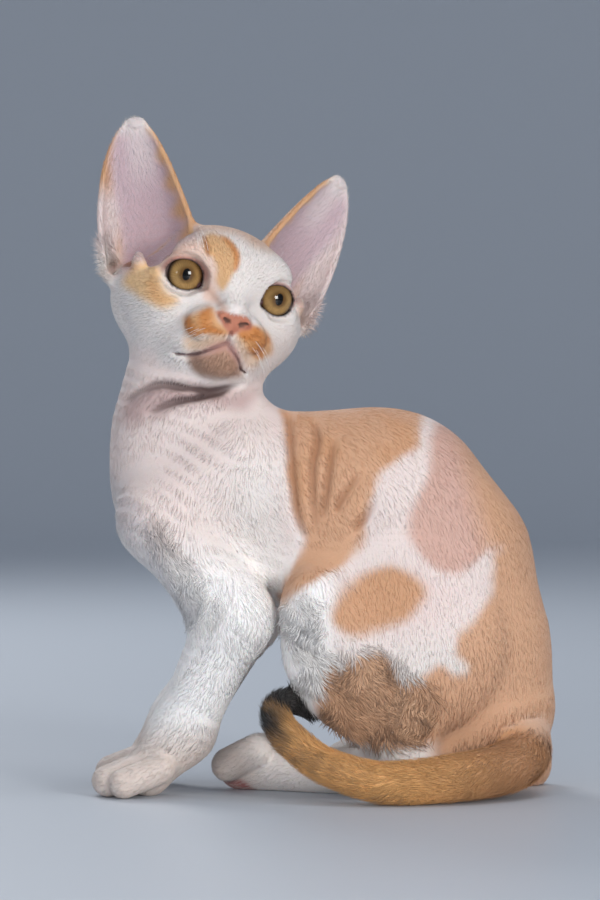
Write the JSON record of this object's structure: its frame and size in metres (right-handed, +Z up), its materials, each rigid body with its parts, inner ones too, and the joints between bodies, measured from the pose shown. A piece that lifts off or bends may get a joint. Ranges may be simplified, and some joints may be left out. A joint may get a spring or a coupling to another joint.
{
  "type": "devon rex kitten",
  "caption": "Life-size still model of a seated devon rex kitten: chest to the left, head turned and raised, large ears, tail curled forward along the floor.",
  "frame": {"origin": "on the floor, at the middle of the kitten's outline seen from above", "axes": "+Z up; -X is the way the chest faces; -Y is the kitten's left side, which its face turns towards"},
  "size_m": [0.1912, 0.1215, 0.2773],
  "materials": {
    "coat_white": "short, soft, wavy white fur with pink skin showing through",
    "coat_cream": "very short cream to pinkish tan fur",
    "coat_ginger": "short ginger fur with darker streaks",
    "ear_skin": "thin, nearly bare pinkish skin",
    "eye": "wet, golden olive iris with a dark pupil under a clear dome"
  },
  "bodies": {
    "root": {"torso": "coat_cream", "neck": "coat_white", "foreleg_left": "coat_white", "foreleg_right": "coat_white", "hindleg_left": "coat_cream", "hindleg_right": "coat_cream", "tail_base": "coat_ginger", "tail_mid": "coat_ginger", "tail_tip": "coat_ginger", "head": "coat_white", "ear_left": "ear_skin", "ear_right": "ear_skin", "eye_left": "eye", "eye_right": "eye"}
  },
  "joints": []
}
